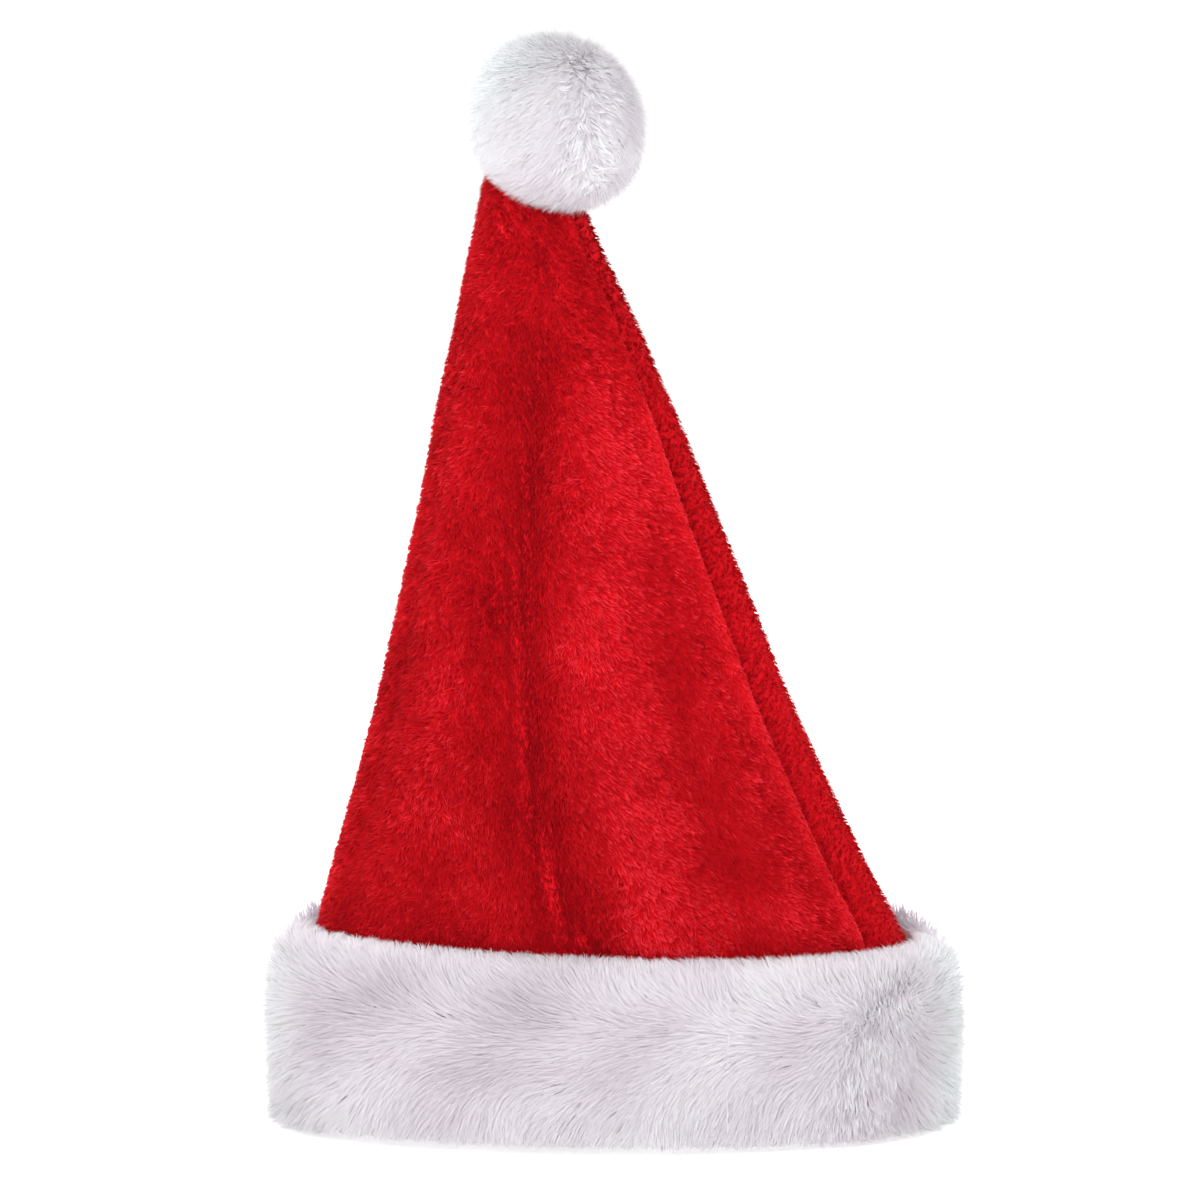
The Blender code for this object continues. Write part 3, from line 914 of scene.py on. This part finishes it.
def side_profile():
    """The outline of the core's outer face: how far up and out it goes at equal steps of its length."""
    turn = np.linspace(-np.pi / 2, np.pi / 2, 2001)
    squareness = np.where(turn > 0, CREST_SQUARENESS, FOOT_SQUARENESS)
    rises = np.sign(turn) * np.abs(np.sin(turn)) ** squareness
    bulges = np.abs(np.cos(turn)) ** squareness
    steps = np.hypot(np.diff(rises) * (CORE_CREST - CORE_FOOT) / 2, np.diff(bulges) * CORE_BULGE)
    run = np.concatenate([[0], np.cumsum(steps)])
    return run / run[-1], rises, bulges


SIDE_RUN, SIDE_RISES, SIDE_BULGES = side_profile()


def core_outside(share_up, angle):
    """The core's rounded outer face, from the hem at 0 to the crest at 1."""
    rises, bulges = (np.interp(share_up, SIDE_RUN, column) for column in (SIDE_RISES, SIDE_BULGES))
    crest = CORE_CREST + lift_at(angle, BAND_LIFTS.crest)
    hem = CORE_FOOT + lift_at(angle, BAND_LIFTS.hem)
    height = (hem + crest) / 2 + (crest - hem) / 2 * rises
    return oval_point(angle, CORE_STANDS_OFF + CORE_BULGE * bulges, height)


def band_core():
    angle = even_angle(np.arange(CORE_COLUMNS) / CORE_COLUMNS)
    outside = [core_outside(np.full(CORE_COLUMNS, up), angle) for up in np.linspace(0, 1, CORE_ROUND)]
    inside = []
    for row in CORE_INSIDE:
        rise = lift_at(angle, getattr(BAND_LIFTS, row.lift)) if row.lift else 0.0
        inside.append(oval_point(angle, np.full(CORE_COLUMNS, row.outward * MM), row.height * MM + rise))
    rings = np.stack(outside + inside, 1)
    mesh = skin("band_core", rings, joined=True, capped=False)
    face = np.arange(len(mesh.polygons)) % rings.shape[1]
    mesh.polygons.foreach_set("material_index", (face >= CORE_ROUND + SLOT_ROWS).astype(np.int32))
    corners = np.empty(len(mesh.loops), np.int32)
    mesh.loops.foreach_get("vertex_index", corners)
    run = np.repeat(np.arange(CORE_COLUMNS) / CORE_COLUMNS * BAND_ROUND, rings.shape[1])
    flat = np.stack([run, rings.reshape(-1, 3)[:, 2]], -1)[corners].reshape(-1, 4, 2)
    flat[-rings.shape[1] :, 2:, 0] = BAND_ROUND  # the last column closes on the first
    mesh.uv_layers.new(name="cloth").uv.foreach_set("vector", flat.astype(np.float32).ravel())
    mesh.flip_normals()
    core = finished("band_core", mesh, [white_ground, white_backing], ["fur_band"])
    return core


band_core()

# %% Fur on the band
FLOOR_SOFTENS = 2 * MM  # tips below this height are drawn up, as far as the least height
LEAST_HEIGHT = 0.5 * MM
HANGS_BELOW = 0.65  # the share of a raised hem's height that its tips hang down over
HEM_RAGGED = 2.8 * MM  # how much higher than the lowest tips the highest ones end
END_REACH, END_POWER = 139 * MM, 6  # the fur stands out more and more towards the band's two ends
TOP_FROM, TOP_OVER = 0.82, 0.12  # shares of the way from the hem to the crest
LOW_TO, LOW_OVER = 0.04, 0.14
BEHIND_OVER = 20 * MM
FURRED_FROM, FURRED_SHARE = 0.04, 0.95
BAND_FACE_AREA = 33000 * MM * MM  # of half the band
FUR_CLEARANCE = 1.2 * MM  # between the fur and the crown's cloth
PARTED_AT, PARTED_WIDTH, PARTED_SLANT = 112 * MM, 12 * MM, 0.35
PARTED_TURNS_OVER = 30 * MM
FUR_TONE, FUR_CLOUDS, FUR_SPREAD = 0.54, 0.10, 0.04
# painted shade on the back of the crest, and painted light on the hem, where the floor's light falls
BACK_RIM_PAINTED_SHADE, HEM_PAINTED_LIGHT = 0.60, 0.12
BAND_UNDERCOAT = Pile(
    length=8.5 * MM, lean_root=64, lean_tip=86, width=0.62 * MM, stray=0.06, pull=0.10, tuft=2.6 * MM,
    wave=0.25 * MM, parts=2, own_normal=0.12, twist=0.15,
)
BAND_GUARD = Pile(
    length=11.0 * MM, lean_root=44, lean_tip=76, width=0.20 * MM, stray=0.10, pull=0.08, tuft=2.6 * MM,
    wave=0.8 * MM, parts=3, own_normal=0.2, twist=0.20,
)


def kept_clear(points, clearance, hem=0.0):
    """Points moved out of the crown's plush, and up off the floor or above a raised hem."""
    height = np.clip(points[..., 2], MARGIN_FOOT, TIP)
    section = section_at(height)
    centre = np.stack([(section.left + section.right) / 2, section.middle], -1)
    half_width = (section.right - section.left) / 2
    local = points[..., :2] - centre
    angle = np.degrees(np.arctan2(-local[..., 1] / section.depth, local[..., 0] / half_width)) % 360
    edge = crown_point(height, angle, np.full(height.shape, clearance))[..., :2] - centre
    inside = np.linalg.norm(local, axis=-1) < np.linalg.norm(edge, axis=-1)
    inside = inside & (points[..., 2] < TIP) & (points[..., 2] > MARGIN_FOOT)
    moved = np.where(inside[..., None], edge + centre, points[..., :2])
    softened = FLOOR_SOFTENS - LEAST_HEIGHT
    low = np.minimum(points[..., 2:] - FLOOR_SOFTENS - hem, 0)
    drawn_up = LEAST_HEIGHT + hem + softened * np.exp(low / softened)
    return np.concatenate([moved, np.where(low < 0, drawn_up, points[..., 2:])], -1)


# Soft patches of painted shade across the front and at the parted tufts, and of painted light at the band's
# two ends and high on the right.
BAND_PAINTED_LIGHT_AND_SHADE = (
    # place, x, height, reach_x, reach_z in mm, amount
    Patch("sunk fur left of the middle", -36, 61, 34, 14, -0.34),
    Patch("sunk fur on the left", -92, 64, 20, 12, -0.26),
    Patch("sunk fur near the left end", -119, 50, 12, 16, -0.20),
    Patch("sunk fur below the middle", -40, 36, 50, 8, -0.20),
    Patch("sunk fur right of the middle", 10, 52, 24, 14, -0.16),
    Patch("the parted tufts", 112, 42, 12, 26, -0.12),
    Patch("sunk fur low on the right", 112, 18, 24, 13, -0.30),
    Patch("full fur at the left end", -137, 45, 8, 40, 0.35),
    Patch("full fur at the right end", 137, 45, 10, 40, 0.55),
    Patch("full fur high on the right", 62, 70, 52, 16, 0.12),
)


def parted_distance(points):
    """How far right of the parted place some points are. The place slants: it is further right higher up."""
    return points[:, 0] - PARTED_AT - PARTED_SLANT * (points[:, 2] - CORE_CREST / 2)


def parted_share(points):
    return np.exp(-((parted_distance(points) / PARTED_WIDTH) ** 2)) * (points[:, 1] < 0)


def band_comb(ground):
    """Fur brushed up at the crest, down at the hem, and from the parted place to both ends between."""
    rise = np.interp(ground.share_u, [0, 0.2, 0.5, 0.8, 1.0], [-1.0, -0.8, -0.2, 0.7, 1.0])
    rise = rise - 0.4 * parted_share(ground.at) + 0.15 * ripple(ground.at, 45 * MM, 23)
    away = 0.8 * np.tanh(parted_distance(ground.at) / PARTED_TURNS_OVER) * (1 - rise * rise).clip(0.3, 1)
    away = away + 0.15 * ripple(ground.at, 50 * MM, 21)
    away = away + 0.5 * eased((ground.share_u - 0.8) / 0.15) * ripple(ground.at, 11 * MM, 27)
    return ground.rising * rise[:, None] + np.array([1.0, 0.0, 0.0]) * away[:, None]


BandZones = namedtuple("BandZones", "top low ends behind")


def band_zones(ground):
    """How far each place belongs to the crest, the hem, the band's two ends and its back."""
    top = eased((ground.share_u - TOP_FROM) / TOP_OVER)
    low = 1 - eased((ground.share_u - LOW_TO) / LOW_OVER)
    ends = np.abs(ground.at[:, 0] / END_REACH).clip(0, 1) ** END_POWER * (1 - top)
    return BandZones(top, low, ends, eased(ground.at[:, 1] / BEHIND_OVER))


def fur_length(zones, layer, chance):
    """Lengths as shares of the pile's: shorter at the crest, uneven at the hem, longer at the ends."""
    crest_cut = (0.35 + 0.2 * layer) * zones.top * (1 - 2 * zones.behind)
    ragged = chance.uniform(0.1 - 0.1 * layer, 0.8, len(zones.top)) * (1 - zones.ends)
    return (1 - crest_cut + (0.25 + 0.25 * zones.low) * zones.ends) * (1 - zones.low * ragged)


def band_fur(name, first, last, layers, seed):
    """The fur on a stretch of the band, from one share of the way round to another."""

    def surface(share_u, share_v):
        angle = even_angle(first + (last - first) * share_v)
        return core_outside(FURRED_FROM + FURRED_SHARE * share_u, angle)

    for layer, (pile, count) in enumerate(layers):
        own_seed = seed + layer
        ground = scatter(surface, count, own_seed)
        chance = np.random.default_rng(own_seed)
        zones = band_zones(ground)
        combed = pile._replace(length=pile.length * fur_length(zones, layer, chance))
        lean_share = (1 - 0.60 * zones.ends - 0.5 * zones.top * zones.behind) * (1 - 0.5 * zones.low)
        line, leader = spines(
            ground, band_comb(ground), combed, BAND_FACE_AREA / count, own_seed,
            lean_share=lean_share, pull_share=1 + 0.5 * zones.top + 1.5 * zones.low,
        )
        angle = even_angle(first + (last - first) * ground.share_v)
        hem = lift_at(angle, BAND_LIFTS.hem) * (1 - HANGS_BELOW)
        hem = hem + HEM_RAGGED * (0.5 + 0.5 * ripple(ground.at, 6 * MM, 28)).clip(0, 1)
        line = kept_clear(line, FUR_CLEARANCE, hem[:, None, None])
        tone = FUR_TONE + FUR_CLOUDS * ripple(ground.at, 60 * MM, 24) + chance.normal(size=count) * FUR_SPREAD
        # painted light and shade in soft patches, painted shade on the back of the crest and painted light on
        # the hem
        tone = tone + patched(ground.at, BAND_PAINTED_LIGHT_AND_SHADE)
        tone = tone - BACK_RIM_PAINTED_SHADE * zones.top * zones.behind + HEM_PAINTED_LIGHT * zones.low
        strand_piece(f"{name}_{layer}", ground, line, leader, pile, white_pile, own_seed, tone)


band_fur("band_fur_front", 0.0, 0.5, ((BAND_UNDERCOAT, 44000), (BAND_GUARD, 13000)), 31)
band_fur("band_fur_back", 0.5, 1.0, ((BAND_UNDERCOAT, 25000), (BAND_GUARD, 8000)), 41)

# %% The small tufts where the fur parts
PARTED_TUFTS = Pile(
    length=4.2 * MM, lean_root=55, lean_tip=80, width=0.36 * MM, stray=0.10, pull=0.70, tuft=1.5 * MM,
    wave=0.2 * MM, parts=2, own_normal=0.35, twist=0.30,
)
TUFTS_STAND_OFF = 3.0 * MM  # they lie on the undercoat
TUFTS_SPREAD = 0.42  # of their tones
BAND_TUFTS_AREA = 2200 * MM * MM


def parted_tufts(name, surface, thinning, comb, count, area, seed, tone):
    """Short strands drawn together in small tufts, each with its own tone, over the fur's undercoat."""
    ground = scatter(surface, count, seed, thinning)
    ground = ground._replace(at=ground.at + ground.out * TUFTS_STAND_OFF)
    chance = np.random.default_rng(seed)
    line, leader = spines(ground, comb(ground), PARTED_TUFTS, area / count, seed)
    tones = tone + chance.normal(size=count) * TUFTS_SPREAD
    return strand_piece(name, ground, line, leader, PARTED_TUFTS, white_pile, seed, tones)


def band_tufts():
    def surface(share_u, share_v):
        return core_outside(0.12 + 0.74 * share_u, even_angle(0.02 + 0.16 * share_v))

    def comb(ground):
        away = 0.35 * ripple(ground.at, 6 * MM, 52) + 0.4 * np.tanh(parted_distance(ground.at) / (10 * MM))
        return ground.rising * -0.9 + np.array([1.0, 0.0, 0.0]) * away[:, None]

    def thinning(ground):
        return parted_share(ground.at)

    parted_tufts("band_tufts", surface, thinning, comb, 6000, BAND_TUFTS_AREA, 51, tone=0.55)


band_tufts()

# %% [markdown]
# ## The pompom
# A pompom is a ball of fur drawn together over a small head. The head here is a ball whose underside is
# raised over the cone's tip, which sits in it as in a pocket. The fur grows out of it in fine tufts and
# makes its soft edge.

# %% The pompom's head
POMPOM_CENTRE = np.array([-24.0, -14.0, 425.0]) * MM
POMPOM_SLANT = -0.11  # how far it leans to the left for each unit of height
HEAD_RADIUS = 31 * MM
HEAD_DIVISIONS = 4
POCKET_FOOT = 361 * MM
POCKET_CLEARANCE = 0.5 * MM
POCKET_STEPS = 60


def slanted(points):
    """Points of the round ball moved so that it leans to the left."""
    return points + (points[:, 2:] - POMPOM_CENTRE[2]) * np.array([POMPOM_SLANT, 0, 0])


def raised_over_the_tip(points):
    """Points inside the cone's tip raised until they clear it, which makes the tip's pocket."""
    raised = points.copy()
    for height in np.linspace(POCKET_FOOT, TIP, POCKET_STEPS):
        section = section_at(np.array([height]))
        half_width = (section.right - section.left) / 2 + POCKET_CLEARANCE
        along = (points[:, 0] - (section.left + section.right) / 2) / half_width
        across = (points[:, 1] - section.middle) / (section.depth + POCKET_CLEARANCE)
        inside = np.hypot(along, across) < 1
        raised[inside, 2] = np.maximum(raised[inside, 2], height + POCKET_CLEARANCE)
    return raised


def pompom_core():
    ball = bmesh.new()
    bmesh.ops.create_icosphere(ball, subdivisions=HEAD_DIVISIONS, radius=HEAD_RADIUS)
    mesh = bpy.data.meshes.new("pompom_core")
    ball.to_mesh(mesh)
    ball.free()
    points = np.empty(len(mesh.vertices) * 3)
    mesh.vertices.foreach_get("co", points)
    points = raised_over_the_tip(slanted(points.reshape(-1, 3) + POMPOM_CENTRE))
    mesh.vertices.foreach_set("co", points.ravel())
    mesh.polygons.foreach_set("use_smooth", np.ones(len(mesh.polygons), bool))
    mesh.update()
    core = finished("pompom_core", mesh, [white_ground], ["pompom"])
    return core


pompom_core()

# %% Fur on the pompom
POMPOM_FUR = Pile(
    length=7.0 * MM, lean_root=50, lean_tip=80, width=0.50 * MM, stray=0.06, pull=0.10, tuft=2.2 * MM,
    wave=0.3 * MM, parts=2, own_normal=0.12, twist=0.15,
)
POMPOM_GUARD = POMPOM_FUR._replace(length=9.5 * MM, lean_root=40, lean_tip=70, width=0.18 * MM, stray=0.10)
POMPOM_PARTING = 12.5 * MM  # how far right of the middle the fur parts
PARTING_OVER, PARTING_TUFTS_OVER = 14 * MM, 7 * MM
POMPOM_LAYERS = ((POMPOM_FUR, 39000), (POMPOM_GUARD, 12000))
POMPOM_AREA, POMPOM_TUFTS_AREA = 9000 * MM * MM, 1100 * MM * MM
POMPOM_SEED = 61
POMPOM_CLEARANCE = 2.0 * MM
# the side where the fur is painted lighter and cooler by painted light, and the side painted rosier by light
# reflected from the red below
PAINTED_LIGHT_SIDE, PAINTED_REFLECTION_SIDE = unit(np.array([-0.75, -0.1, 0.65])), unit(np.array([0.5, -0.2, -0.85]))


def pompom_surface(share_u, share_v):
    """The head as a ball, from its underside at 0 to its top at 1."""
    rise = 2 * np.asarray(share_u) - 1
    turn = 2 * np.pi * np.asarray(share_v)
    flat = np.sqrt(np.maximum(0, 1 - rise * rise))
    ball = np.stack([flat * np.sin(turn), flat * np.cos(turn), rise], -1)
    return slanted(POMPOM_CENTRE + ball * HEAD_RADIUS)


def pompom_tone(ground, chance):
    """The fur is painted cooler and lighter on the upper left, where the light falls on it, and painted
    rosier below, with light reflected from the red cone.
    """
    # painted light on the upper left, and painted reflected light, rosy, below
    cool, rosy = (dot(ground.out, side)[:, 0].clip(0, 1) for side in (PAINTED_LIGHT_SIDE, PAINTED_REFLECTION_SIDE))
    tone = 0.52 + 0.46 * cool + 0.10 * rosy + 0.06 * ripple(ground.at, 30 * MM, 26)
    return tone + chance.normal(size=len(tone)) * FUR_SPREAD


def pompom_fur():
    def thinning(ground):
        clear = raised_over_the_tip(ground.at)[:, 2] - ground.at[:, 2]
        return np.where(clear > 0, 0.0, 1.0)

    for layer, (pile, count) in enumerate(POMPOM_LAYERS):
        seed = POMPOM_SEED + layer
        ground = scatter(pompom_surface, count, seed, thinning)
        out = unit(ground.at - POMPOM_CENTRE)
        ground = ground._replace(out=out)
        apart = np.tanh((out[:, 0] * HEAD_RADIUS - POMPOM_PARTING) / PARTING_OVER)
        sinks = 0.10 * ripple(ground.at, 30 * MM, 25) - 0.7
        hangs = eased(-out[:, 2] * 1.5) * eased(-out[:, 1] * 2)
        parted = (1 - apart * apart) * (-out[:, 1]).clip(0, 1)
        combed = pile._replace(length=pile.length * (1 + (0.5 - 0.8 * layer) * hangs))
        line, leader = spines(
            ground, np.stack([apart, np.zeros(count), sinks], -1), combed, POMPOM_AREA / count, seed,
            lean_share=0.45 + 0.55 * np.abs(out[:, 1]) + 0.45 * parted,
            pull_share=1 + 1.5 * hangs - 0.8 * parted,
        )
        line = kept_clear(line, POMPOM_CLEARANCE)
        tone = pompom_tone(ground, np.random.default_rng(seed))
        strand_piece(f"pompom_fur_{layer}", ground, line, leader, pile, white_pile, seed, tone)


pompom_fur()

# %% The small tufts at its parting
def parting_distance(ground):
    """How far right of the parting some places are, in widths of the strip of tufts."""
    return (ground.at[:, 0] - POMPOM_CENTRE[0] - POMPOM_PARTING) / PARTING_TUFTS_OVER


def pompom_tufts():
    def thinning(ground):
        return np.exp(-(parting_distance(ground) ** 2)) * (ground.at[:, 1] < POMPOM_CENTRE[1])

    def comb(ground):
        away = np.tanh(parting_distance(ground)) + 0.5 * ripple(ground.at, 5 * MM, 72)
        return np.stack([away, np.zeros(len(away)), 0.3 * ripple(ground.at, 6 * MM, 73) - 0.6], -1)

    parted_tufts("pompom_tufts", pompom_surface, thinning, comb, 4000, POMPOM_TUFTS_AREA, 71, tone=0.75)


pompom_tufts()

# %% [markdown]
# ## Camera, floor and light
# The hat was photographed from the front and a little above, from far enough away that its edges stay
# straight, so a long lens stands well back. The light is broad and bright: a white room gives the soft
# overall light, a large lamp from the upper left and a weaker one from the right let the folds show, and
# two lamps behind the hat light the edges of its fur. The floor gives off a little light of its own, so
# that it stays as white as the background.

# %% The camera
PHOTO_SIDE = 1200
METRES_A_PIXEL = 0.42 * MM
PHOTO_MIDDLE_X = 614.5  # the column of the photo that the hat's middle lies on
PHOTO_FOOT_Y = 1128.0  # the row of the photo that the origin lies on
ELEVATION = np.radians(8.0)
LENS, SENSOR = 150.0, 36.0

distance = LENS * PHOTO_SIDE * METRES_A_PIXEL / SENSOR
aim_x = (PHOTO_SIDE / 2 - PHOTO_MIDDLE_X) * METRES_A_PIXEL
aim_z = (PHOTO_FOOT_Y - PHOTO_SIDE / 2) * METRES_A_PIXEL / np.cos(ELEVATION)
camera = bpy.data.objects.new("camera", bpy.data.cameras.new("camera"))
bpy.context.scene.collection.objects.link(camera)
camera.data.lens = LENS
camera.data.sensor_width = SENSOR
camera.data.clip_end = 50
camera.location = (aim_x, -distance * np.cos(ELEVATION), aim_z + distance * np.sin(ELEVATION))
camera.rotation_euler = (np.pi / 2 - ELEVATION, 0, 0)
bpy.context.scene.camera = camera
print(f"camera at {distance:.2f} m")

# %% The floor
FLOOR_SIDE = 12.0
FLOOR_GLOW = 0.42


def stage_material():
    material = bpy.data.materials.new("pale_floor")
    material.use_nodes = True
    shader = material.node_tree.nodes["Principled BSDF"]
    shader.inputs["Base Color"].default_value = (0.95, 0.95, 0.95, 1)
    shader.inputs["Emission Color"].default_value = (1, 1, 1, 1)
    shader.inputs["Emission Strength"].default_value = FLOOR_GLOW
    shader.inputs["Roughness"].default_value = 0.9
    shader.inputs["Specular IOR Level"].default_value = 0.1
    return material


floor_mesh = bpy.data.meshes.new("floor")
half = FLOOR_SIDE / 2
floor_corners = [(-half, -half, 0), (half, -half, 0), (half, half, 0), (-half, half, 0)]
floor_mesh.from_pydata(floor_corners, [], [(0, 1, 2, 3)])
floor_mesh.materials.append(stage_material())
floor = bpy.data.objects.new("floor", floor_mesh)
bpy.context.scene.collection.objects.link(floor)
print("floor:", FLOOR_SIDE, "m square")

# %% The light
Lamp = namedtuple("Lamp", "name place size watts colour")
LAMPS = (
    Lamp("key", (-1.1, -1.7, 1.5), 1.3, 20, (1.0, 1.0, 1.0)),
    Lamp("side", (1.6, -0.9, 0.9), 1.2, 7, (1.0, 1.0, 1.0)),
    Lamp("left rim", (-1.5, 1.1, 1.1), 1.2, 24, (1.0, 1.0, 1.0)),
    Lamp("right rim", (1.5, 1.2, 0.9), 1.2, 12, (1.0, 1.0, 1.0)),
)
LIT_POINT = Vector((0, 0, 0.22))
ROOM_STRENGTH = 1.04

for lamp in LAMPS:
    light = bpy.data.lights.new(lamp.name, "AREA")
    light.size = lamp.size
    light.energy = lamp.watts
    light.color = lamp.colour
    holder = bpy.data.objects.new(lamp.name, light)
    holder.location = lamp.place
    holder.rotation_euler = (LIT_POINT - Vector(lamp.place)).to_track_quat("-Z", "Y").to_euler()
    bpy.context.scene.collection.objects.link(holder)

world = bpy.data.worlds.new("room")
world.use_nodes = True
world.node_tree.nodes["Background"].inputs["Color"].default_value = (1.0, 1.0, 1.0, 1)
world.node_tree.nodes["Background"].inputs["Strength"].default_value = ROOM_STRENGTH
bpy.context.scene.world = world
bpy.context.scene.view_settings.view_transform = "Standard"
print("lamps:", len(LAMPS))
